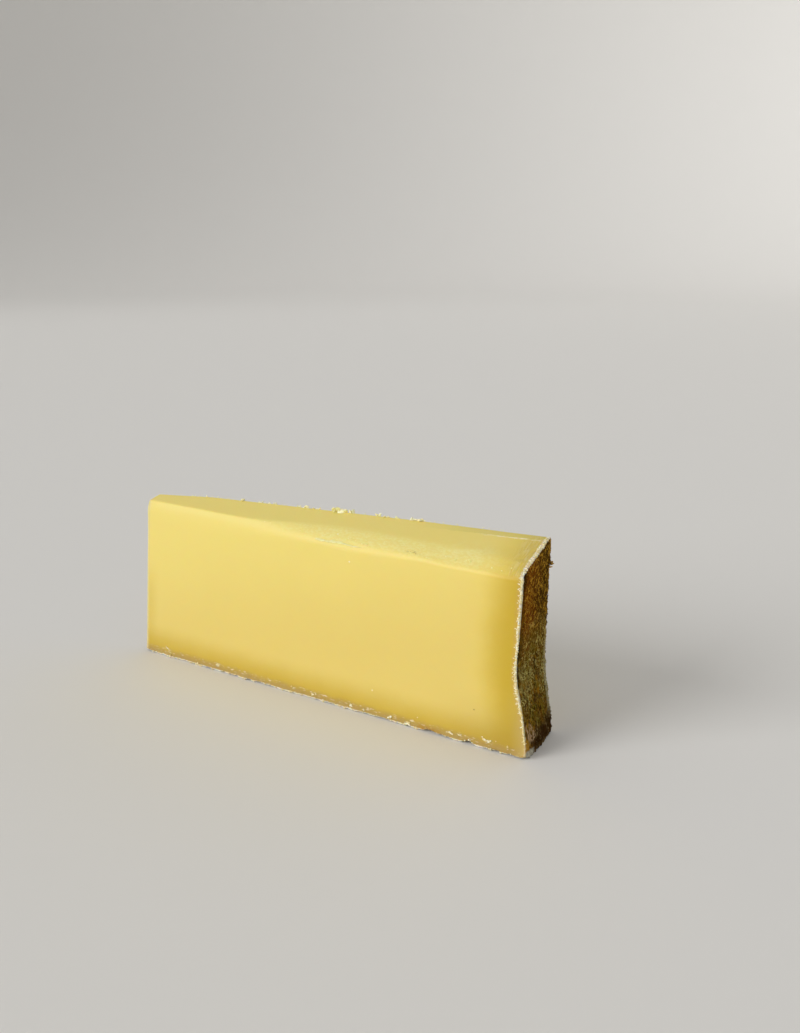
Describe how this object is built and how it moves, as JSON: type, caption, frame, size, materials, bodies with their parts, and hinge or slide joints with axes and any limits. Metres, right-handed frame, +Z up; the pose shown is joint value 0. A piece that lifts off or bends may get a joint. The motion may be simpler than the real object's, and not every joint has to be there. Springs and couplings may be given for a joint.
{
  "type": "beaufort cheese wedge",
  "caption": "Long thin slice of pressed mountain cheese, standing on its flat rind, with a hollow brown rind heel at the thick end.",
  "frame": {"origin": "centre of the bounding box's footprint, on the flat rind that the slice stands on", "axes": "+Z up, +X along the front cut face from the thin end to the rind heel, +Y from the front cut face to the back one"},
  "size_m": [0.2044, 0.0324, 0.0818],
  "materials": {
    "paste": "satin",
    "rind": "rough"
  },
  "bodies": {
    "root": {"cheese_wedge": "paste"}
  },
  "joints": []
}
